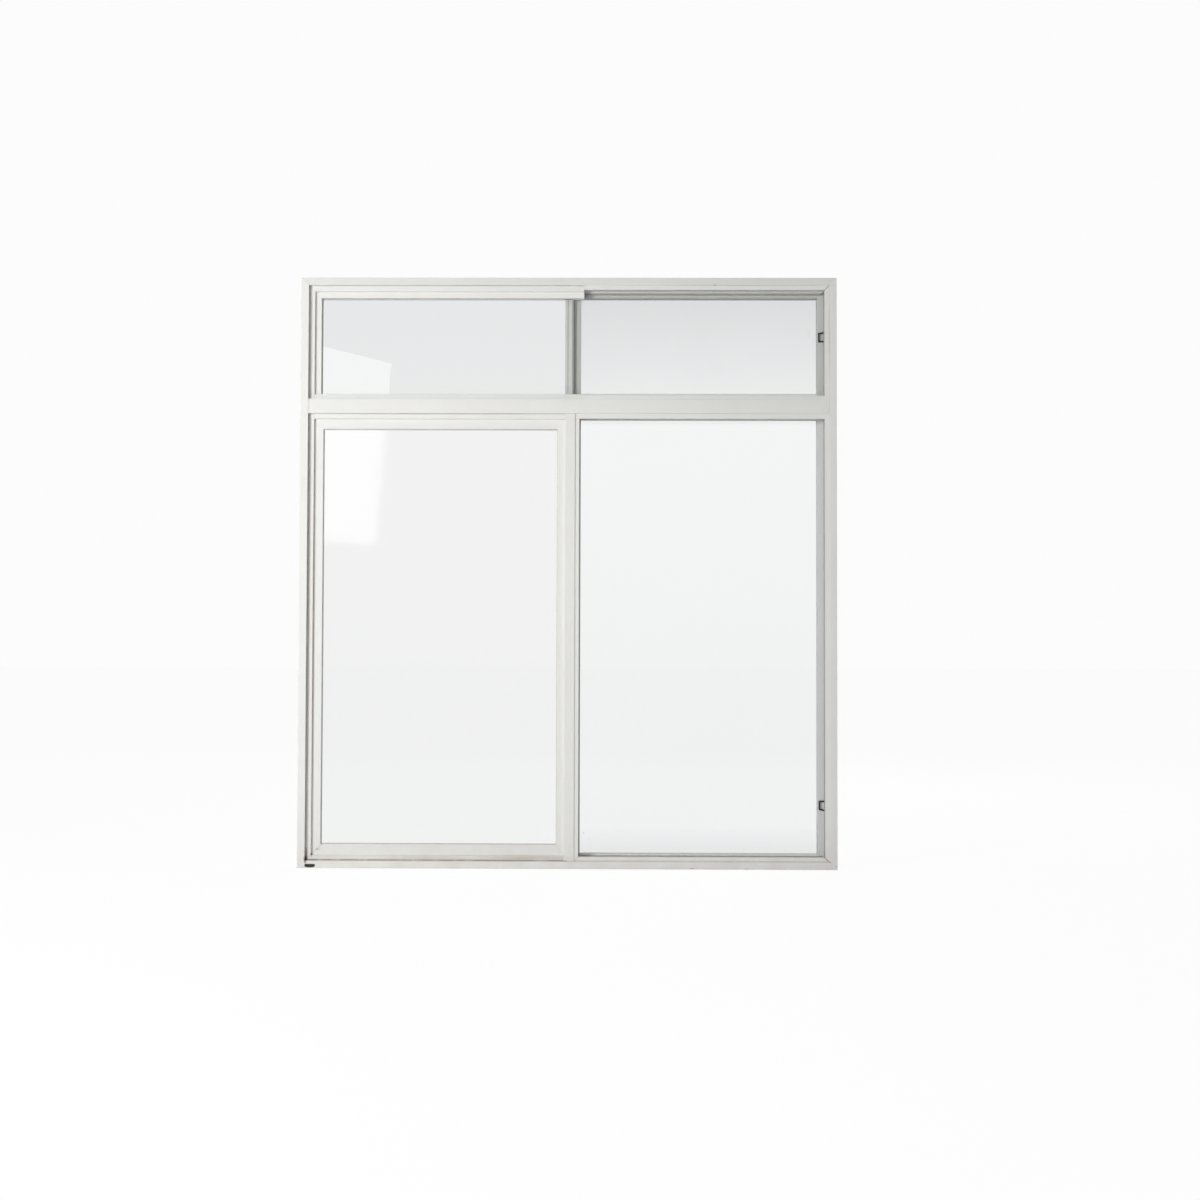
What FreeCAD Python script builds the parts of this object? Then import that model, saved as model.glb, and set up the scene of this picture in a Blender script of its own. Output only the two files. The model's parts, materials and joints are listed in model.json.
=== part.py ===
import FreeCAD, Part
import os
import re
import Sketcher

# Horizontal sliding window of white aluminium sections: an outer frame with two tracks, a transom bar,
# fixed lites at the left in the front track and sliding sashes at the right in the rear track.
# X runs to the right, Y from the outside to the inside and Z up. The origin is the middle of the sill's
# underside.

sizeRows = [
    # outer frame
    ("overall_width", 1000),
    ("overall_height", 1100),
    ("frame_depth", 68),
    ("wall", 1.6),
    ("face_bar", 14),
    ("sight", 24.5),
    ("inside_lip", 22.5),
    ("fin_front", 28),
    ("fin_wall", 1.8),
    ("fin_reach", 19.5),
    ("head_fin", 23.2),
    ("sill_track", 9),
    ("head_guide", 16),
    ("seat", 0.2),
    ("hairline", 0.1),
    # weep slot in the sill's outer face
    ("weep_length", 20),
    ("weep_height", 5),
    ("weep_from_end", 13.6),
    ("weep_up", 5),
    # transom bar, half heights from its middle
    ("upper_section", 241),
    ("transom_mid", "=overall_height - upper_section"),
    ("transom_face", 13.5),
    ("transom_tube", 8),
    ("transom_sight", 22.9),
    ("transom_fin", 19),
    ("transom_track", 13),
    ("transom_guide", 11),
    ("transom_lip", 17.5),
    # mullion bar in the lower half, from the window's middle
    ("mullion_left", 5.7),
    ("mullion_right", 12.7),
    ("web_left", 2),
    ("web_right", 5.5),
    # trim strips that close the empty front track
    ("trim_front", 1.7),
    ("trim_wall", 1.5),
    ("trim_width", 12.2),
    ("trim_lip", 6),
    ("trim_sight", 22.2),
    ("upper_trim_sight", 20.6),
    ("mullion_trim_sight", 20.7),
    ("rail_end", 29),
    # fixed lites in the front track
    ("lite_front", 8),
    ("lite_step", 13),
    ("lite_back", "=fin_front - seat"),
    ("groove_deep", 8),
    ("groove_wide", 8),
    ("upper_groove_wide", 6),
    ("upper_groove_front", "=lite_back - wall - upper_groove_wide"),
    ("sill_sight", 22.7),
    ("upper_bar", 11.5),
    ("upper_low_bar", 1.6),
    ("lower_side_bar", 16.5),
    ("lower_top_bar", 18.4),
    ("lower_low_bar", 20.3),
    ("lower_meet_bar", 14.3),
    ("lite_interlock_left", 6.9),
    ("lite_interlock_right", 8.9),
    ("lite_interlock_bevel", 3),
    ("lite_interlock_seat", 0.6),
    ("interlock_gap", 3),
    # sliding sashes in the rear track
    ("sash_front_gap", 5.2),
    ("sash_back_gap", 7.4),
    ("sash_front", "=fin_front + fin_wall + sash_front_gap"),
    ("sash_back", "=frame_depth - wall - sash_back_gap"),
    ("track_front", "=(sash_front + sash_back - wall) / 2"),
    ("sash_wall", 1.4),
    ("sash_lip", 3),
    ("sash_groove", 4),
    ("sash_groove_wide", 8),
    ("sash_groove_front", "=sash_front + sash_lip"),
    ("sash_groove_back", "=sash_groove_front + sash_groove_wide"),
    ("lock_outer", 5),
    ("lock_inner", 32.2),
    ("stile_gap", 1.5),
    ("interlock_left", 5),
    ("interlock_right", 22.2),
    ("lower_rail_legs", 4),
    ("lower_rail_web", 16.3),
    ("lower_rail_edge", 23.9),
    ("upper_rail_legs", 9.5),
    ("upper_rail_web", 20.2),
    ("upper_rail_edge", 28.8),
    ("head_rail_legs", 11),
    ("head_rail_web", 17.5),
    ("head_rail_edge", 30.5),
    ("bar_rail_legs", 9.5),
    ("bar_rail_web", 11.6),
    ("bar_rail_edge", 19.2),
    ("lower_roller", 3.6),
    ("upper_roller", 3.5),
    ("roller_wide", 5),
    ("roller_inset", 70),
    ("axle", 1.5),
    # panes and gaskets
    ("pane", 4),
    ("pane_edge", 1),
    ("lower_pane_front", "=lite_step + wall + (groove_wide - pane) / 2"),
    ("upper_pane_front", "=upper_groove_front + (upper_groove_wide - pane) / 2"),
    ("sash_pane_front", "=sash_groove_front + (sash_groove_wide - pane) / 2"),
    ("lite_interlock_front", "=upper_pane_front + pane + lite_interlock_seat"),
    ("lite_interlock_back", "=sash_front - interlock_gap"),
    ("lite_gasket_lip", 1.2),
    ("sash_gasket_lip", 0.3),
    # latches and pulls on the lock stiles
    ("latch_wide", 12.7),
    ("latch_tall", 20),
    ("latch_bar", 2.6),
    ("latch_slant", 2.6),
    ("latch_proud", 3.2),
    ("latch_outer", 18),
    ("upper_latch_drop", 104.7),
    ("lower_latch_up", 114.7),
    ("pull_wide", 13),
    ("pull_proud", 6),
    ("upper_pull_tall", 60),
    ("lower_pull_tall", 110),
    ("pull_round", 2),
    ("lower_pull_up", 430),
]

doc = FreeCAD.newDocument("sliding_window")
sheet = doc.addObject("Spreadsheet::Sheet", "Sizes")
for number, (alias, value) in enumerate(sizeRows, start=1):
    sheet.set("A%d" % number, alias)
    sheet.set("B%d" % number, str(value))
    sheet.setAlias("B%d" % number, alias)
doc.recompute()

subParts = []


def bound(text):
    return re.sub(r"\b([a-z][a-z_]*)", r"Sizes.\1", text)


def size(alias):
    return float(sheet.get(alias))


def place(thing, across, back, up):
    spots = {"x": across, "y": "%s - frame_depth / 2" % back, "z": up}
    for axis, text in spots.items():
        thing.setExpression("Placement.Base.%s" % axis, bound(text))
    subParts.append(thing)
    return thing


def circlePoint(number, count):
    turn = FreeCAD.Rotation(FreeCAD.Vector(0, 0, 1), 360.0 * number / count)
    return turn.multVec(FreeCAD.Vector(10, 0, 0))


# A closed outline in a sketch, each corner set by two sizes from the sheet
def addLoop(sketch, corners):
    first = sketch.GeometryCount
    count = len(corners)
    for number in range(count):
        line = Part.LineSegment(circlePoint(number, count), circlePoint(number + 1, count))
        sketch.addGeometry(line, False)
    for number, (along, up) in enumerate(corners):
        here = first + number
        following = first + (number + 1) % count
        spot = circlePoint(number, count)
        sketch.addConstraint(Sketcher.Constraint("Coincident", here, 2, following, 1))
        for kind, start, text in (("DistanceX", spot.x, along), ("DistanceY", spot.y, up)):
            index = sketch.addConstraint(Sketcher.Constraint(kind, -1, 1, here, 1, start))
            sketch.setExpression("Constraints[%d]" % index, bound(text))


def addSketch(body, name, plane, loops):
    origin = {feature.Role: feature for feature in body.Origin.OriginFeatures}
    sketch = body.newObject("Sketcher::SketchObject", name)
    sketch.AttachmentSupport = (origin[plane], [""])
    sketch.MapMode = "FlatFace"
    for corners in loops:
        addLoop(sketch, corners)
    return sketch


def addPad(body, plane, loops, length, name="pad"):
    pad = body.newObject("PartDesign::Pad", name)
    pad.Profile = addSketch(body, name + "_section", plane, loops)
    pad.setExpression("Length", bound(length))
    doc.recompute()
    return pad


# A pocket that runs from the sketch plane into the solid; one that takes nothing away stops the build
def addCut(body, plane, loops, length, name="cut"):
    before = body.Shape.Volume
    pocket = body.newObject("PartDesign::Pocket", name)
    pocket.Profile = addSketch(body, name + "_outline", plane, loops)
    pocket.Reversed = plane != "XZ_Plane"
    pocket.setExpression("Length", bound(length))
    doc.recompute()
    if body.Shape.Volume > before - 0.01:
        raise RuntimeError("%s: %s takes nothing away" % (body.Label, name))
    return pocket


# A section is given as (inward, depth) pairs; the side of the window says which way inward points
def layOut(loops, side, span):
    turned = []
    for corners in loops:
        if side == "bottom":
            turned.append([(depth, inward) for inward, depth in corners])
        elif side == "top":
            turned.append([(depth, "%s - (%s)" % (span, inward)) for inward, depth in corners])
        elif side == "left":
            turned.append(list(corners))
        else:
            turned.append([("%s - (%s)" % (span, inward), depth) for inward, depth in corners])
    return turned


def addBar(label, side, span, loops, length):
    body = doc.addObject("PartDesign::Body", label)
    plane = "YZ_Plane" if side in ("bottom", "top") else "XY_Plane"
    addPad(body, plane, layOut(loops, side, span), length)
    return body


# The slanting cut at one end of a bar, from its outer corner to the inner corner that it shares; bars with
# a stepped face give both strips' widths, and the cut turns at the corner of the step
def addMitre(body, side, end, length, own, other, strips=None):
    near = "0" if end == "start" else length
    far = other if end == "start" else "%s - (%s)" % (length, other)
    outer = "0" if side in ("bottom", "left") else own
    inner = own if side in ("bottom", "left") else "0"
    corners = [(near, outer), (near, inner), (far, inner)]
    if strips:
        ownStrip, otherStrip = strips
        turnAlong = otherStrip if end == "start" else "%s - (%s)" % (length, otherStrip)
        turnUp = ownStrip if side in ("bottom", "left") else "%s - (%s)" % (own, ownStrip)
        corners.append((turnAlong, turnUp))
    if side in ("left", "right"):
        corners = [(up, along) for along, up in corners]
    addCut(body, "XZ_Plane", [corners], "frame_depth + wall", "mitre_" + end)


def addBox(label, length, width, height):
    box = doc.addObject("Part::Box", label)
    for name, text in (("Length", length), ("Width", width), ("Height", height)):
        box.setExpression(name, bound(text))
    return box


# Outer frame: an E-shaped section with a face bar, a fin between the tracks and an inside lip
def frameSection(finReach, trackReach):
    corners = [
        ("0", "0"),
        ("face_bar", "0"),
        ("face_bar", "wall"),
        ("wall", "wall"),
        ("wall", "fin_front"),
        (finReach, "fin_front"),
        (finReach, "fin_front + fin_wall"),
        ("wall", "fin_front + fin_wall"),
    ]
    if trackReach:
        corners += [
            ("wall", "track_front"),
            (trackReach, "track_front"),
            (trackReach, "track_front + wall"),
            ("wall", "track_front + wall"),
        ]
    corners += [
        ("wall", "frame_depth - wall"),
        ("inside_lip", "frame_depth - wall"),
        ("inside_lip", "frame_depth"),
        ("0", "frame_depth"),
    ]
    return [corners]


def addWeepSlot(body):
    sketch = addSketch(body, "weep_outline", "XZ_Plane", [])
    radius = size("weep_height") / 2
    up = FreeCAD.Vector(0, radius, 0)
    out = FreeCAD.Vector(radius, 0, 0)
    left = FreeCAD.Vector(size("weep_from_end"), size("weep_up"), 0) + out
    right = left + FreeCAD.Vector(size("weep_length"), 0, 0) - out - out
    sketch.addGeometry(Part.Arc(left + up, left - out, left - up), False)
    sketch.addGeometry(Part.LineSegment(left - up, right - up), False)
    sketch.addGeometry(Part.Arc(right - up, right + out, right + up), False)
    sketch.addGeometry(Part.LineSegment(right + up, left + up), False)
    sides = sketch.GeometryCount
    for side in range(sides):
        sketch.addConstraint(Sketcher.Constraint("Tangent", side, 2, (side + 1) % sides, 1))
    sketch.addConstraint(Sketcher.Constraint("Horizontal", 1))
    sizes = [
        (Sketcher.Constraint("Radius", 0, radius), "weep_height / 2"),
        (Sketcher.Constraint("DistanceX", -1, 1, 0, 3, left.x), "weep_from_end + weep_height / 2"),
        (Sketcher.Constraint("DistanceY", -1, 1, 0, 3, left.y), "weep_up"),
        (Sketcher.Constraint("DistanceX", 0, 3, 2, 3, right.x - left.x), "weep_length - weep_height"),
    ]
    for constraint, text in sizes:
        index = sketch.addConstraint(constraint)
        sketch.setExpression("Constraints[%d]" % index, bound(text))
    pocket = body.newObject("PartDesign::Pocket", "weep_slot")
    pocket.Profile = sketch
    pocket.setExpression("Length", bound("wall * 2"))
    doc.recompute()


def addFrameBar(label, side, fins, length, across, up):
    body = addBar(label, side, "sight", frameSection(*fins), length)
    for end in ("start", "end"):
        addMitre(body, side, end, length, "sight", "sight")
    return place(body, across, "0", up)


frameLeft = "-overall_width / 2"
sillFins = ("fin_reach", "sill_track")
headFins = ("head_fin", "head_guide")
jambFins = ("fin_reach", "")
sill = addFrameBar("sill", "bottom", sillFins, "overall_width", frameLeft, "0")
addWeepSlot(sill)
addFrameBar("head", "top", headFins, "overall_width", frameLeft, "overall_height - sight")
addFrameBar("left_jamb", "left", jambFins, "overall_height", frameLeft, "0")
addFrameBar("right_jamb", "right", jambFins, "overall_height", "overall_width / 2 - sight", "0")

# Transom bar: a tube with a face, fins, the upper sash's track above and the lower sash's guide below
transomLength = "overall_width - 2 * (wall + seat)"


def level(reach):
    return "transom_sight + %s" % reach


def below(reach):
    return "transom_sight - %s" % reach


transomSection = [
    (below("transom_face"), "0"),
    (level("transom_face"), "0"),
    (level("transom_face"), "wall"),
    (level("transom_tube"), "wall"),
    (level("transom_tube"), "fin_front"),
    (level("transom_fin"), "fin_front"),
    (level("transom_fin"), "fin_front + fin_wall"),
    (level("transom_tube"), "fin_front + fin_wall"),
    (level("transom_tube"), "track_front"),
    (level("transom_track"), "track_front"),
    (level("transom_track"), "track_front + wall"),
    (level("transom_tube"), "track_front + wall"),
    (level("transom_tube"), "frame_depth - wall"),
    (level("transom_lip"), "frame_depth - wall"),
    (level("transom_lip"), "frame_depth"),
    (below("transom_lip"), "frame_depth"),
    (below("transom_lip"), "frame_depth - wall"),
    (below("transom_tube"), "frame_depth - wall"),
    (below("transom_tube"), "track_front + wall"),
    (below("transom_guide"), "track_front + wall"),
    (below("transom_guide"), "track_front"),
    (below("transom_tube"), "track_front"),
    (below("transom_tube"), "fin_front + fin_wall"),
    (below("transom_fin"), "fin_front + fin_wall"),
    (below("transom_fin"), "fin_front"),
    (below("transom_tube"), "fin_front"),
    (below("transom_tube"), "wall"),
    (below("transom_face"), "wall"),
]
transomHollow = [
    (below("(transom_tube - wall)"), "wall"),
    (level("(transom_tube - wall)"), "wall"),
    (level("(transom_tube - wall)"), "frame_depth - wall"),
    (below("(transom_tube - wall)"), "frame_depth - wall"),
]
transom = addBar("transom_bar", "bottom", "transom_sight * 2", [transomSection, transomHollow], transomLength)
# its ends are notched round the jambs' face bar, fin and inside lip
notches = [
    ("face", "face_bar", "0", "wall + seat"),
    ("fin", "fin_reach", "fin_front - seat", "fin_front + fin_wall + seat"),
    ("lip", "inside_lip", "frame_depth - wall - seat", "frame_depth"),
]
for notch, reach, near, far in notches:
    inset = "%s - wall" % reach
    for end, edge, stop in (
        ("left", "0", inset),
        ("right", transomLength, "%s - (%s)" % (transomLength, inset)),
    ):
        corners = [(edge, near), (stop, near), (stop, far), (edge, far)]
        addCut(transom, "XY_Plane", [corners], "transom_sight * 2", "%s_notch_%s" % (notch, end))
place(transom, "-overall_width / 2 + wall + seat", "0", "transom_mid - transom_sight")

# Mullion bar of the lower half: a T-section whose face runs from the sill's face to the transom's
mullionLow = "wall + seat"
mullionLength = "transom_mid - transom_tube - wall - 2 * seat"
mullionSection = [
    ("0", "0"),
    ("mullion_left + mullion_right", "0"),
    ("mullion_left + mullion_right", "wall"),
    ("mullion_left + web_right", "wall"),
    ("mullion_left + web_right", "fin_front - seat"),
    ("mullion_left + web_left", "fin_front - seat"),
    ("mullion_left + web_left", "wall"),
    ("0", "wall"),
]
mullion = addBar("lower_mullion", "left", "sight", [mullionSection], mullionLength)
mullionEnds = [
    ("foot", "0", "face_bar - wall - seat + hairline"),
    ("head", mullionLength, "transom_mid - transom_face - wall - seat - hairline"),
]
for name, edge, stop in mullionEnds:
    corners = [
        ("0", edge),
        ("mullion_left + mullion_right", edge),
        ("mullion_left + mullion_right", stop),
        ("0", stop),
    ]
    addCut(mullion, "XZ_Plane", [corners], "wall + seat", name + "_notch")
place(mullion, "-mullion_left", "0", mullionLow)

# Trim strips round the right-hand openings: a face with a short lip and a leg that wedges against the fin
trimSection = [
    ("0", "trim_front"),
    ("trim_width", "trim_front"),
    ("trim_width", "trim_front + trim_lip"),
    ("trim_width - trim_wall", "trim_front + trim_lip"),
    ("trim_width - trim_wall", "trim_front + trim_wall"),
    ("trim_wall", "trim_front + trim_wall"),
    ("trim_wall", "fin_front - seat"),
    ("0", "fin_front - seat"),
]


def addTrim(label, side, length, across, up, mitres):
    body = addBar(label, side, "trim_width", [trimSection], length)
    for end in mitres:
        addMitre(body, side, end, length, "trim_width", "trim_width")
    return place(body, across, "0", up)


bothEnds = ("start", "end")
trimEdge = "(trim_sight - trim_width)"
trimRight = "overall_width / 2 - trim_sight"
headTrimUp = "overall_height - trim_sight"
upperTrimLow = "transom_mid + upper_trim_sight - trim_width"
upperTrimTall = "overall_height - %s - (%s)" % (trimEdge, upperTrimLow)
upperTrimLong = "overall_width / 2 - %s - rail_end - seat" % trimEdge
addTrim("upper_trim_top", "top", upperTrimLong, "rail_end + seat", headTrimUp, ("end",))
addTrim("upper_trim_bottom", "bottom", upperTrimLong, "rail_end + seat", upperTrimLow, ("end",))
addTrim("upper_trim_right", "right", upperTrimTall, trimRight, upperTrimLow, bothEnds)
lowerTrimLeft = "mullion_trim_sight - trim_width"
lowerTrimLong = "overall_width / 2 - %s - (%s)" % (trimEdge, lowerTrimLeft)
lowerTrimTall = "transom_mid - transom_sight + trim_width - %s" % trimEdge
addTrim("lower_trim_top", "top", lowerTrimLong, lowerTrimLeft, "transom_mid - transom_sight", bothEnds)
addTrim("lower_trim_bottom", "bottom", lowerTrimLong, lowerTrimLeft, trimEdge, bothEnds)
addTrim("lower_trim_left", "left", lowerTrimTall, lowerTrimLeft, trimEdge, bothEnds)
addTrim("lower_trim_right", "right", lowerTrimTall, trimRight, trimEdge, bothEnds)


# Fixed lites: hollow bars with a stepped face and a glazing groove, which lies deeper in the upper lite
def liteSection(strip, bar, stepInside, deepGroove=False):
    edge = "%s + %s" % (strip, bar)
    floor = "%s - groove_deep" % edge
    front = "upper_groove_front" if deepGroove else "lite_step + wall"
    back = "%s + %s" % (front, "upper_groove_wide" if deepGroove else "groove_wide")
    outline = [
        ("0", "lite_front"),
        (strip, "lite_front"),
        (strip, "lite_step"),
        (edge, "lite_step"),
        (edge, front),
        (floor, front),
        (floor, back),
        (edge, back),
    ]
    if deepGroove:
        outline.append((edge, "lite_back"))
    else:
        outline += [(edge, back + " + wall"), (floor, back + " + wall"), (floor, "lite_back")]
    outline.append(("0", "lite_back"))
    hollow = [
        ("wall", "lite_front + wall"),
        (strip + " - wall", "lite_front + wall"),
        (strip + " - wall", stepInside),
        (floor + " - wall", stepInside),
        (floor + " - wall", "lite_back - wall"),
        ("wall", "lite_back - wall"),
    ]
    return [outline, hollow]


frameStrip = "(sight - wall - seat)"
sillStrip = "(sill_sight - wall - seat)"
transomStrip = "(transom_sight - transom_tube - seat)"
mullionStrip = "(web_left + mullion_left)"
deepStep = "lite_step + wall"
liteLeft = "-overall_width / 2 + wall + seat"

upperLow = "(transom_mid + transom_tube + seat)"
upperTall = "overall_height - wall - seat - %s" % upperLow
upperLong = "rail_end + overall_width / 2 - wall - seat"
upperSide = "%s + upper_bar" % frameStrip
upperSill = "%s + upper_low_bar" % transomStrip
upperSection = liteSection(frameStrip, "upper_bar", deepStep, deepGroove=True)
sideStrips = (frameStrip, frameStrip)
upperLeft = addBar("upper_lite_left_stile", "left", upperSide, upperSection, upperTall)
addMitre(upperLeft, "left", "start", upperTall, upperSide, upperSill, (frameStrip, transomStrip))
addMitre(upperLeft, "left", "end", upperTall, upperSide, upperSide, sideStrips)
place(upperLeft, liteLeft, "0", upperLow)
upperTop = addBar("upper_lite_top_rail", "top", upperSide, upperSection, upperLong)
addMitre(upperTop, "top", "start", upperLong, upperSide, upperSide, sideStrips)
place(upperTop, liteLeft, "0", "overall_height - wall - seat - (%s)" % upperSide)
lowSection = liteSection(transomStrip, "upper_low_bar", "lite_step", deepGroove=True)
upperBottom = addBar("upper_lite_bottom_rail", "bottom", upperSill, lowSection, upperLong)
addMitre(upperBottom, "bottom", "start", upperLong, upperSill, upperSide, (transomStrip, frameStrip))
place(upperBottom, liteLeft, "0", upperLow)

lowerTall = mullionLength
lowerLong = "web_left - seat + overall_width / 2 - wall - seat"
lowerLow = mullionLow
lowerBars = {
    "left": (frameStrip, "lower_side_bar"),
    "bottom": (sillStrip, "lower_low_bar"),
    "top": (transomStrip, "lower_top_bar"),
    "right": (mullionStrip, "lower_meet_bar"),
}
lowerWide = {side: "%s + %s" % sizes for side, sizes in lowerBars.items()}
lowerPlaces = {
    "left": ("left_stile", liteLeft, lowerLow),
    "bottom": ("bottom_rail", liteLeft, lowerLow),
    "top": ("top_rail", liteLeft, "%s + %s - (%s)" % (lowerLow, lowerTall, lowerWide["top"])),
    "right": ("right_stile", "web_left - seat - (%s)" % lowerWide["right"], lowerLow),
}
neighbours = {
    "left": ("bottom", "top"),
    "right": ("bottom", "top"),
    "bottom": ("left", "right"),
    "top": ("left", "right"),
}
for side, (strip, bar) in lowerBars.items():
    name, across, up = lowerPlaces[side]
    length = lowerTall if side in ("left", "right") else lowerLong
    body = addBar("lower_lite_" + name, side, lowerWide[side], liteSection(strip, bar, deepStep), length)
    for end, other in zip(bothEnds, neighbours[side]):
        addMitre(body, side, end, length, lowerWide[side], lowerWide[other], (strip, lowerBars[other][0]))
    place(body, across, "0", up)

# Slim interlock behind the right edge of the upper fixed pane, bevelled towards the sash
interlockWide = "(lite_interlock_left + lite_interlock_right)"
upperPaneLow = "(transom_mid + transom_sight + upper_low_bar)"
upperPaneHigh = "(overall_height - sight - upper_bar)"
bevelStart = "%s - lite_interlock_bevel" % interlockWide
liteInterlock = [
    ("0", "lite_interlock_front"),
    (bevelStart, "lite_interlock_front"),
    (interlockWide, "lite_interlock_front + lite_interlock_bevel"),
    (interlockWide, "lite_interlock_back"),
    ("0", "lite_interlock_back"),
]
liteInterlockHollow = [
    ("wall", "lite_interlock_front + wall"),
    (bevelStart, "lite_interlock_front + wall"),
    (bevelStart, "lite_interlock_back - wall"),
    ("wall", "lite_interlock_back - wall"),
]
slim = addBar(
    "upper_lite_interlock",
    "left",
    interlockWide,
    [liteInterlock, liteInterlockHollow],
    "%s - %s - 2 * hairline" % (upperPaneHigh, upperPaneLow),
)
place(slim, "-lite_interlock_left", "0", upperPaneLow + " + hairline")


# Sliding sashes: stiles are closed tubes, rails straddle the track or the guide on two legs
def sashTube(width):
    outline = [
        ("0", "sash_front"),
        (width, "sash_front"),
        (width, "sash_groove_front"),
        (width + " - sash_groove", "sash_groove_front"),
        (width + " - sash_groove", "sash_groove_back"),
        (width, "sash_groove_back"),
        (width, "sash_back"),
        ("0", "sash_back"),
    ]
    return [outline, sashHollow("sash_wall", width)]


def sashHollow(low, width):
    floor = width + " - sash_groove - sash_wall"
    lip = width + " - sash_wall"
    return [
        (low, "sash_front + sash_wall"),
        (floor, "sash_front + sash_wall"),
        (floor, "sash_groove_back + sash_wall"),
        (lip, "sash_groove_back + sash_wall"),
        (lip, "sash_back - sash_wall"),
        (low, "sash_back - sash_wall"),
    ]


def sashRail(web, width):
    outline = [
        ("0", "sash_front"),
        (width, "sash_front"),
        (width, "sash_groove_front"),
        (width + " - sash_groove", "sash_groove_front"),
        (width + " - sash_groove", "sash_groove_back"),
        (width, "sash_groove_back"),
        (width, "sash_back"),
        ("0", "sash_back"),
        ("0", "sash_back - sash_wall"),
        (web, "sash_back - sash_wall"),
        (web, "sash_front + sash_wall"),
        ("0", "sash_front + sash_wall"),
    ]
    return [outline, sashHollow(web + " + sash_wall", width)]


lockWide = "(lock_inner - lock_outer)"
lockLeft = "overall_width / 2 - lock_inner"
meetWide = "(interlock_left + interlock_right)"
railLong = "%s - interlock_right - 2 * hairline" % lockLeft
sashes = {
    "upper": {
        "stileLow": "(transom_mid + transom_track + stile_gap)",
        "stileHigh": "(overall_height - head_guide - stile_gap)",
        "low": ("transom_mid", "upper_rail_legs", "upper_rail_web", "upper_rail_edge"),
        "high": ("overall_height", "head_rail_legs", "head_rail_web", "head_rail_edge"),
        "roller": "upper_roller",
        "track": "(transom_mid + transom_track)",
        "latchUp": "(overall_height - upper_latch_drop)",
        "latchSlant": "top",
        "pullUp": "(transom_mid + overall_height - upper_pull_tall) / 2",
        "pullTall": "upper_pull_tall",
    },
    "lower": {
        "stileLow": "(sill_track + stile_gap)",
        "stileHigh": "(transom_mid - transom_guide - stile_gap)",
        "low": ("0", "lower_rail_legs", "lower_rail_web", "lower_rail_edge"),
        "high": ("transom_mid", "bar_rail_legs", "bar_rail_web", "bar_rail_edge"),
        "roller": "lower_roller",
        "track": "sill_track",
        "latchUp": "lower_latch_up",
        "latchSlant": "bottom",
        "pullUp": "lower_pull_up",
        "pullTall": "lower_pull_tall",
    },
}


def addRollers(name, sash):
    middle = "(sash_front + sash_back) / 2"
    pair = []
    inner = "sash_back - sash_front - 2 * sash_wall - 2 * hairline"
    for across in ("interlock_right + roller_inset", lockLeft + " - roller_inset"):
        solids = []
        for radius, length in ((sash["roller"], "roller_wide"), ("axle", inner)):
            disc = doc.addObject("Part::Cylinder", name + "_disc")
            disc.setExpression("Radius", bound(radius))
            disc.setExpression("Height", bound(length))
            disc.Placement.Rotation = FreeCAD.Rotation(FreeCAD.Vector(1, 0, 0), -90)
            spots = {
                "x": across,
                "y": "%s - (%s) / 2" % (middle, length),
                "z": "%s + %s + hairline / 2" % (sash["track"], sash["roller"]),
            }
            for axis, text in spots.items():
                disc.setExpression("Placement.Base.%s" % axis, bound(text))
            solids.append(disc)
        roller = doc.addObject("Part::Fuse", name + "_roller")
        roller.Base, roller.Tool = solids
        pair.append(roller)
    both = doc.addObject("Part::Fuse", name + "_rollers")
    both.Base, both.Tool = pair
    place(both, "0", "0", "0")


# The black latch on the front of the lock stile, open towards the jamb; one arm slants away from the other
def addLatch(name, up, slantedEnd):
    body = doc.addObject("PartDesign::Body", name + "_latch")
    corners = [
        ("0", "latch_slant"),
        ("latch_wide", "0"),
        ("latch_wide", "latch_bar"),
        ("latch_bar", "latch_slant + latch_bar"),
        ("latch_bar", "latch_tall - latch_bar"),
        ("latch_wide", "latch_tall - latch_bar"),
        ("latch_wide", "latch_tall"),
        ("0", "latch_tall"),
    ]
    if slantedEnd == "top":
        corners = [(along, "latch_tall - (%s)" % height) for along, height in corners]
    addPad(body, "XZ_Plane", [corners], "latch_proud")
    place(body, "overall_width / 2 - latch_outer - latch_wide", "sash_front", "%s - latch_tall / 2" % up)


# The rounded pull on the inside of the lock stile
def addPull(name, up, tall):
    body = doc.addObject("PartDesign::Body", name + "_pull")
    corners = [("0", "0"), ("pull_wide", "0"), ("pull_wide", tall), ("0", tall)]
    pad = addPad(body, "XZ_Plane", [corners], "pull_proud")
    pad.Reversed = True
    doc.recompute()
    edges = []
    for number, edge in enumerate(pad.Shape.Edges, start=1):
        if edge.BoundBox.YMin > pad.Shape.BoundBox.YMax - 0.01:
            edges.append("Edge%d" % number)
    soft = body.newObject("PartDesign::Fillet", "round")
    soft.Base = (pad, edges)
    soft.setExpression("Radius", bound("pull_round"))
    place(body, lockLeft + " + (%s - pull_wide) / 2" % lockWide, "sash_back", up)


# A pane, held in the groove between two gasket rings
def addPane(name, across, up, wide, tall, front, room):
    inGroove = "(%s - pane_edge)" % room
    pane = addBox(
        name + "_glass",
        "%s + 2 * %s" % (wide, inGroove),
        "pane",
        "%s + 2 * %s" % (tall, inGroove),
    )
    place(pane, "%s - %s" % (across, inGroove), front, "%s - %s" % (up, inGroove))


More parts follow.
